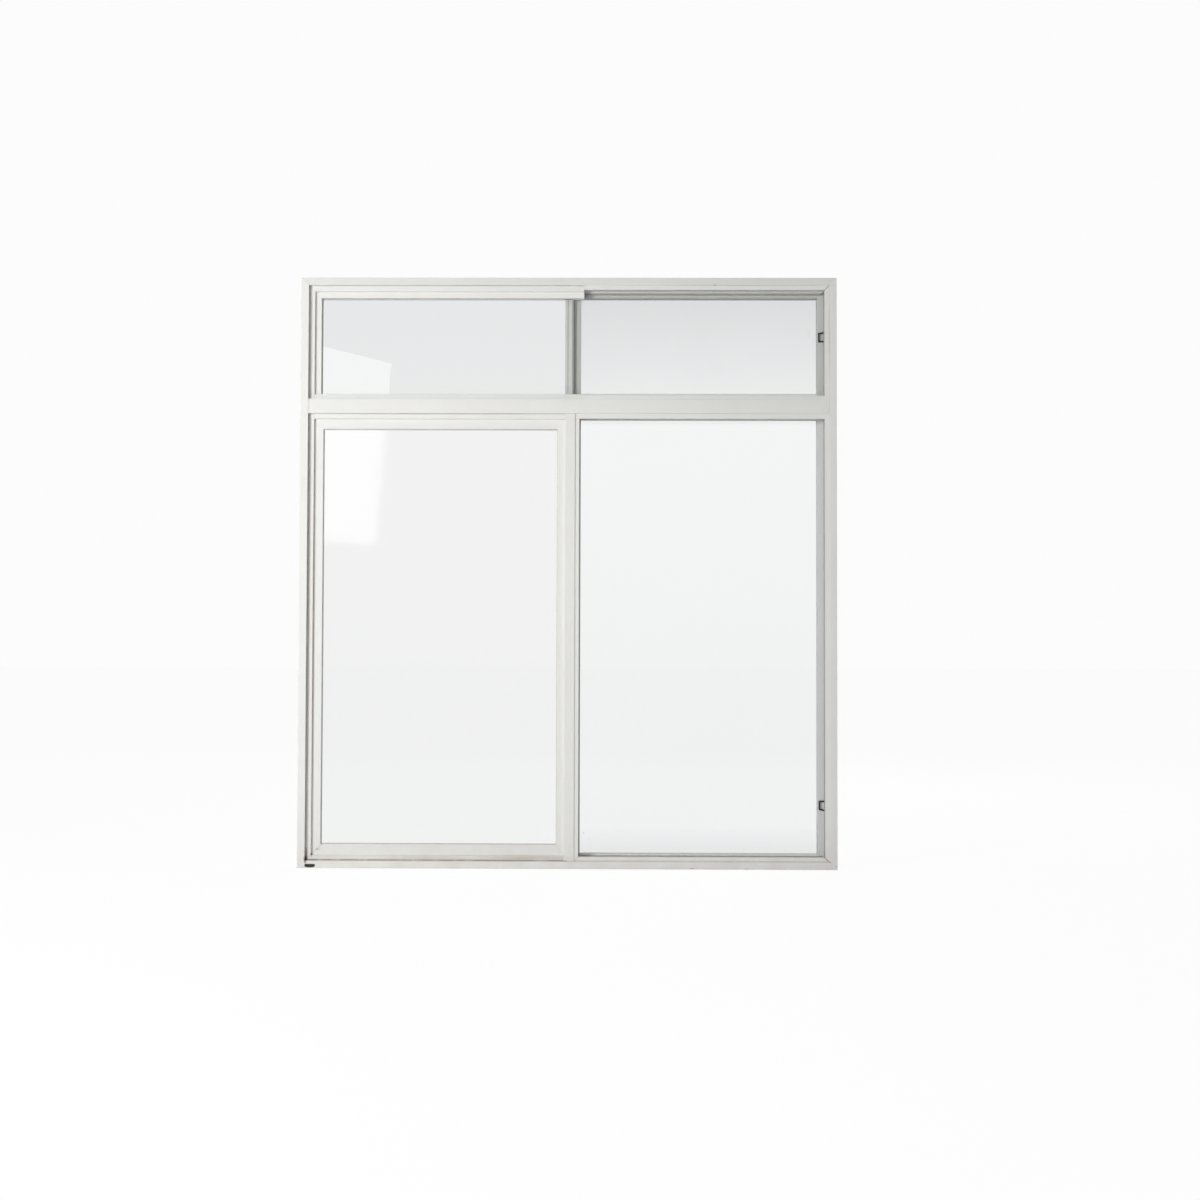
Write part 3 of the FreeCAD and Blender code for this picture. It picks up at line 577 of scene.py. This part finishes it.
# painted shade: the upper sash's interlock stile is darker still, where the fixed lite's edge shades it
meetingStileShadedLook = dict(sashLook, light=(0.485, 0.504, 0.477, 1), shade=(0.443, 0.462, 0.436, 1))
runs = {"Upright": (1.0, 1.0, 0.01), "Level": (0.01, 1.0, 1.0)}  # die lines are drawn out along the bar


def makePaint(name, look, along, marked=False):
    material, tree, shader = newMaterial(name)
    grain = placeGroup(tree, surfaceGrain)
    lines = placeGroup(tree, dieLines, Stretch=along)
    tint = mixColour(tree, grain.outputs["Mottle"], look["light"], look["shade"])
    grime = placeGroup(tree, grooveGrime, Corners=look["corners"], Reach=look["reach"], Wash=look["wash"])
    tint = mixColour(tree, grime.outputs["Wash"], tint, look["washTint"])
    dirtAndShade = grime.outputs["Mask"]
    if marked:
        for mark in mitreMarks:
            dirtAndShade = mathNode(tree, "MAXIMUM", dirtAndShade, seamMask(tree, mark))
        brown = sillMask(tree, sillLine)
        for mark in brownMarks:
            brown = mathNode(tree, "MAXIMUM", brown, spotMask(tree, mark))
        tint = mixColour(tree, brown, tint, look["washTint"])
    for mark in look["darkMarks"]:
        dirtAndShade = mathNode(tree, "MAXIMUM", dirtAndShade, spotMask(tree, mark))
    # darkens the paint where grime, mitre lines and dirt lie, and with painted shade in the grooves and the head's
    # track
    tint = mixColour(tree, dirtAndShade, tint, look["grime"])
    tree.links.new(tint, shader.inputs["Base Color"])
    rough = mathNode(tree, "MULTIPLY", dirtAndShade, look["dirtRough"])
    mottled = mathNode(tree, "MULTIPLY", grain.outputs["Mottle"], look["mottleRough"])
    rough = mathNode(tree, "ADD", rough, mottled)
    rough = mathNode(tree, "ADD", rough, look["rough"], clamp=True)
    tree.links.new(rough, shader.inputs["Roughness"])
    softEdge = setInputs(addNode(tree, "ShaderNodeBevel", samples=4), Radius=look["edge"])
    peel = bumpNode(tree, grain.outputs["Height"], look["peel"], look["peelDepth"], softEdge.outputs[0])
    drawn = bumpNode(tree, lines.outputs["Height"], look["drawn"], look["drawnDepth"], peel)
    tree.links.new(drawn, shader.inputs["Normal"])
    return material


whitePaint = {run: makePaint("whitePaint" + run, whiteLook, along, marked=True) for run, along in runs.items()}
lowerSashPaint = {run: makePaint("lowerSashPaint" + run, lowerSashShadedLook, along) for run, along in runs.items()}
sashFootPaint = makePaint("sashFootPaint", sashFootLitLook, runs["Level"])
paintOf = {
    "head": makePaint("headPaint", headShadedLook, runs["Level"], marked=True),
    "upper_lite_interlock": makePaint("meetingPaint", meetingLitLook, runs["Upright"]),
    "upper_sash_interlock_stile": makePaint("meetingStilePaint", meetingStileShadedLook, runs["Upright"]),
    "upper_sash_lock_stile": makePaint("upperSashPaint", upperSashShadedLook, runs["Upright"]),
    "upper_sash_top_rail": makePaint("upperRailPaint", upperRailShadedLook, runs["Level"]),
    "upper_sash_bottom_rail": sashFootPaint,
    "lower_sash_bottom_rail": sashFootPaint,
}

# panes: each has its own tint from foot to top, with a faint film and a few marks
pane = {
    "ior": 1.5,
    "film": 5.0,
    "drift": 0.3,
    "markTint": (0.5, 0.5, 0.49, 1),
    "shadowTint": (0.92, 0.925, 0.92, 1),
}
glassLooks = {
    "upper_lite_glass": {
        "rough": 0.0, "low": 0.88, "high": 1.07, "foot": 0.02,
        "footTint": (0.825, 0.83, 0.835, 1), "lowTint": (0.83, 0.835, 0.84, 1), "highTint": (0.81, 0.82, 0.825, 1),
        "marks": [],
    },
    "upper_sash_glass": {
        "rough": 0.0, "low": 0.88, "high": 1.07, "foot": 0.02,
        "footTint": (0.845, 0.85, 0.855, 1), "lowTint": (0.85, 0.855, 0.86, 1), "highTint": (0.72, 0.73, 0.735, 1),
        "marks": [{"middle": (0.452, 0.006, 1.005), "spread": (1, 4, 2.2), "radius": 0.006, "strength": 0.12}],
    },
    "lower_lite_glass": {  # slightly rough, so that the panel's edge is soft in it
        "rough": 0.045, "low": 0.04, "high": 0.82, "foot": 0.02,
        "footTint": (0.89, 0.895, 0.895, 1), "lowTint": (0.895, 0.9, 0.9, 1), "highTint": (0.91, 0.91, 0.91, 1),
        "marks": [],
    },
    "lower_sash_glass": {
        "rough": 0.0, "low": 0.03, "high": 0.76, "foot": 0.045,
        "footTint": (0.80, 0.81, 0.815, 1), "lowTint": (0.885, 0.888, 0.892, 1), "highTint": (0.925, 0.93, 0.935, 1),
        "marks": [{"middle": (0.030, 0.006, 0.062), "spread": (1, 4, 1.2), "radius": 0.003, "strength": 0.35}],
    },
}


def makeGlass(name, look):
    material, tree, shader = newMaterial(name)
    setInputs(shader, Roughness=look["rough"], IOR=pane["ior"], Transmission_Weight=1.0)
    place = objectPlace(tree)
    z = splitPlace(tree, place)[2]
    rise = mapRange(tree, z, look["low"], look["high"])
    film = noiseNode(tree, place, pane["film"], detail=3.0)
    drift = mathNode(tree, "MULTIPLY", mathNode(tree, "SUBTRACT", film, 0.5), pane["drift"])
    tint = mixColour(tree, mathNode(tree, "ADD", rise, drift, clamp=True), look["lowTint"], look["highTint"])
    foot = mapRange(tree, z, look["low"] + look["foot"], look["low"])
    tint = mixColour(tree, foot, tint, look["footTint"])
    for mark in look["marks"]:
        tint = mixColour(tree, spotMask(tree, mark), tint, pane["markTint"])
    tree.links.new(tint, shader.inputs["Base Color"])
    through = setInputs(tree.nodes.new("ShaderNodeBsdfTransparent"), Color=pane["shadowTint"])
    rays = tree.nodes.new("ShaderNodeLightPath")
    mixShaders(tree, rays.outputs["Is Shadow Ray"], shader, through, tree.nodes["Material Output"])
    return material


# rubber, plastic, nylon, plated steel and pile
mouldedLooks = {
    "liteRubber": {
        "light": (0.66, 0.655, 0.64, 1), "shade": (0.54, 0.535, 0.52, 1), "metal": 0.0,
        "fine": 1400.0, "broad": 60.0, "rough": 0.6, "bump": 0.15,
    },
    "sashRubber": {
        "light": (0.78, 0.785, 0.77, 1), "shade": (0.70, 0.705, 0.69, 1), "metal": 0.0,
        "fine": 1400.0, "broad": 60.0, "rough": 0.6, "bump": 0.15,
    },
    "blackPlastic": {
        "light": (0.022, 0.023, 0.022, 1), "shade": (0.012, 0.012, 0.012, 1), "metal": 0.0,
        "fine": 2200.0, "broad": 90.0, "rough": 0.35, "bump": 0.12,
    },
    "nylon": {
        "light": (0.72, 0.71, 0.66, 1), "shade": (0.60, 0.58, 0.52, 1), "metal": 0.0,
        "fine": 1500.0, "broad": 80.0, "rough": 0.4, "bump": 0.1,
    },
    "zincPlate": {
        "light": (0.55, 0.55, 0.54, 1), "shade": (0.42, 0.42, 0.41, 1), "metal": 1.0,
        "fine": 1800.0, "broad": 200.0, "rough": 0.3, "bump": 0.08,
    },
    "pileFibre": {
        "light": (0.44, 0.44, 0.43, 1), "shade": (0.30, 0.30, 0.295, 1), "metal": 0.0,
        "fine": 2600.0, "broad": 900.0, "rough": 0.75, "bump": 0.6,
    },
}
mouldedSkin = {"mottleRough": 0.25, "bumpDepth": 0.0003}


def makeMoulded(name, look):
    material, tree, shader = newMaterial(name)
    setInputs(shader, Metallic=look["metal"])
    grain = placeGroup(tree, surfaceGrain, Fine=look["fine"], Broad=look["broad"])
    tint = mixColour(tree, grain.outputs["Mottle"], look["light"], look["shade"])
    tree.links.new(tint, shader.inputs["Base Color"])
    rough = mathNode(tree, "MULTIPLY", grain.outputs["Mottle"], mouldedSkin["mottleRough"])
    rough = mathNode(tree, "ADD", rough, look["rough"])
    tree.links.new(rough, shader.inputs["Roughness"])
    bump = bumpNode(tree, grain.outputs["Height"], look["bump"], mouldedSkin["bumpDepth"])
    tree.links.new(bump, shader.inputs["Normal"])
    return material


moulded = {name: makeMoulded(name, look) for name, look in mouldedLooks.items()}


def finishFor(name, slot):
    if name in glassLooks:
        return makeGlass(name.replace("_", "") + "Pane", glassLooks[name])
    if name in paintOf:
        return paintOf[name]
    if slot == "gasket":
        return moulded["sashRubber"] if "sash" in name else moulded["liteRubber"]
    if slot in ("white_paint", "sash_paint"):
        upright = any(word in name for word in ("jamb", "stile", "mullion", "trim_left", "trim_right"))
        run = "Upright" if upright else "Level"
        return lowerSashPaint[run] if name.startswith("lower_sash") else whitePaint[run]
    return {"black_plastic": moulded["blackPlastic"], "nylon": moulded["nylon"]}[slot]


def dressNodes():
    slots = {part["node"]: part["material_slot"] for part in frame["record"]["subparts"]}
    for name, node in windowNodes.items():
        node.data.materials.clear()
        node.data.materials.append(finishFor(name, slots[name]))


dressNodes()
print("finishes on", len(windowNodes), "pieces")

# pile strips that seal each sash against the fins in front of it
pile = {
    "lift": 0.0001,
    "deep": 0.0046,
    "thick": 0.0034,
    "tuft": 0.004,
    "stray": 0.00025,
    "endGap": 0.004,
    "sideFromJamb": 0.0172,
    "headFromTop": 0.0256,
    "barFromRail": 0.0006,
    "sillUp": 0.0214,
    "meetingHidden": 0.004,
    "meetingSeen": 0.0034,
    "meetingGap": 0.0002,
}


def addStrip(bm, low, high, tuft, stray):
    middle = [(a + b) / 2 for a, b in zip(low, high)]
    spans = [b - a for a, b in zip(low, high)]
    made = bmesh.ops.create_cube(bm, size=1.0)["verts"]
    bmesh.ops.scale(bm, verts=made, vec=spans)
    bmesh.ops.translate(bm, verts=made, vec=middle)
    axis = spans.index(max(spans))
    long = []
    for edge in {edge for vert in made for edge in vert.link_edges}:
        if abs(edge.verts[0].co[axis] - edge.verts[1].co[axis]) > spans[axis] / 2:
            long.append(edge)
    cut = bmesh.ops.subdivide_edges(bm, edges=long, cuts=int(spans[axis] / tuft), use_grid_fill=True)
    for item in cut["geom_inner"]:
        if isinstance(item, bmesh.types.BMVert):
            item.co.y += random.uniform(-stray, stray) if item.co.y < middle[1] else 0.0
            item.co[2 - axis] += random.uniform(-stray, stray)


def makePile(sash, settings):
    bm = bmesh.new()
    lockLow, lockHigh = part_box(sash + "_sash_lock_stile")
    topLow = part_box(sash + "_sash_top_rail")[0]
    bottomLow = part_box(sash + "_sash_bottom_rail")[0]
    back = lockLow[1] - settings["lift"]
    front = back - settings["deep"]
    thick, end = settings["thick"], settings["endGap"]
    side = rightSide - settings["sideFromJamb"]
    strips = [((side - thick, front, lockLow[2] + end), (side, back, lockHigh[2] - end))]
    if sash == "upper":
        level = frameTop - settings["headFromTop"]
        strips.append(((topLow[0] + end, front, level), (side - thick - end, back, level + thick)))
        meetLow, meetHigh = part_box("upper_lite_interlock")  # the fixed lite's edge, just in front of the sash
        left, right = meetHigh[0] - settings["meetingHidden"], meetHigh[0] + settings["meetingSeen"]
        near = meetHigh[1] + settings["meetingGap"]
        strips.append(((left, near, meetLow[2] + end), (right, back, level - end)))
    else:
        level = topLow[2] + settings["barFromRail"]
        strips.append(((topLow[0] + end, front, level), (side - thick - end, back, level + thick)))
        level = settings["sillUp"]
        strips.append(((bottomLow[0] + end, front, level - thick), (side - thick - end, back, level)))
    for low, high in strips:
        addStrip(bm, low, high, settings["tuft"], settings["stray"])
    bmesh.ops.recalc_face_normals(bm, faces=bm.faces)
    piece = finishMesh(bm, sash + "SashPile", moulded["pileFibre"])
    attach(piece, "root")


random.seed(4)
for sash in ("upper", "lower"):
    makePile(sash, pile)
print("pile strips ready")

# black flap behind the weep slot in the sill
weep = {
    "fromEnd": 0.0116,
    "wide": 0.024,
    "low": 0.0019,
    "tall": 0.0068,
    "gap": 0.00025,
    "thick": 0.0008,
    "edge": 0.0002,
    "hinge": 0.0007,
    "wall": 0.0016,
}


def makeWeepFlap(settings):
    bm = bmesh.new()
    wide, thick, tall = settings["wide"], settings["thick"], settings["tall"]
    near = outside + settings["wall"] + settings["gap"]
    across = leftSide + settings["fromEnd"] + wide / 2
    low = settings["low"]
    flap = bmesh.ops.create_cube(bm, size=1.0)["verts"]
    bmesh.ops.scale(bm, verts=flap, vec=(wide, thick, tall))
    bmesh.ops.translate(bm, verts=flap, vec=(across, near + thick / 2, low + tall / 2))
    bmesh.ops.bevel(
        bm, geom=bm.edges[:], offset=settings["edge"], affect="EDGES", segments=2, profile=0.5, material=-1,
        clamp_overlap=True)
    turn = Matrix.Rotation(math.radians(90), 4, "Y")
    bmesh.ops.create_cone(
        bm, cap_ends=True, segments=16, radius1=settings["hinge"], radius2=settings["hinge"],
        depth=wide, matrix=Matrix.Translation((across, near + thick, low + tall)) @ turn)
    piece = finishMesh(bm, "weepFlap", moulded["blackPlastic"])
    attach(piece, "root")


makeWeepFlap(weep)
print("weep flap ready")

# screws through the jambs into the ends of the transom bar
screw = {
    "sides": 24,
    "radius": 0.0036,
    "proud": 0.0012,
    "rim": 0.0005,
    "cross": 0.0021,
    "arm": 0.32,
    "sink": 0.0008,
    "depths": (-0.018, 0.018),
}


def topFace(bm):
    return max(bm.faces, key=lambda face: face.calc_center_median().z)


def onlyVerts(items):
    return [item for item in items if isinstance(item, bmesh.types.BMVert)]


def addScrewHead(bm, settings):
    sides, radius, proud = settings["sides"], settings["radius"], settings["proud"]
    bmesh.ops.create_cone(bm, cap_ends=True, segments=sides, radius1=radius, radius2=radius, depth=proud)
    bmesh.ops.translate(bm, verts=bm.verts, vec=(0, 0, proud / 2))
    bmesh.ops.bevel(
        bm, geom=list(topFace(bm).edges), offset=settings["rim"], affect="EDGES", segments=3, profile=0.5, material=-1)
    top = topFace(bm)
    bmesh.ops.inset_region(bm, faces=[top], thickness=radius - settings["rim"] - settings["cross"])
    quarter = sides // 4
    for number, vert in enumerate(top.verts):  # leaves four arms of the cross
        if number % quarter not in (0, 1):
            vert.co.x *= settings["arm"]
            vert.co.y *= settings["arm"]
    sunk = bmesh.ops.extrude_face_region(bm, geom=[top])
    base = onlyVerts(sunk["geom"])
    bmesh.ops.delete(bm, geom=[top], context="FACES_ONLY")
    bmesh.ops.translate(bm, verts=base, vec=(0, 0, -settings["sink"]))


def makeScrews(settings):
    bm = bmesh.new()
    addScrewHead(bm, settings)
    pattern = bm.verts[:] + bm.edges[:] + bm.faces[:]
    barLow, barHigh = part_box("transom_bar")
    level = (barLow[2] + barHigh[2]) / 2
    for side, outward in ((leftSide, -1), (rightSide, 1)):
        turn = Vector((0, 0, 1)).rotation_difference(Vector((outward, 0, 0))).to_matrix().to_4x4()
        for depth in settings["depths"]:
            copied = bmesh.ops.duplicate(bm, geom=pattern)["geom"]
            place = Matrix.Translation((side, depth, level)) @ turn
            bmesh.ops.transform(bm, verts=onlyVerts(copied), matrix=place)
    bmesh.ops.delete(bm, geom=onlyVerts(pattern), context="VERTS")
    bmesh.ops.recalc_face_normals(bm, faces=bm.faces)
    piece = finishMesh(bm, "transomScrews", moulded["zincPlate"])
    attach(piece, "root")


makeScrews(screw)
print("screws ready")
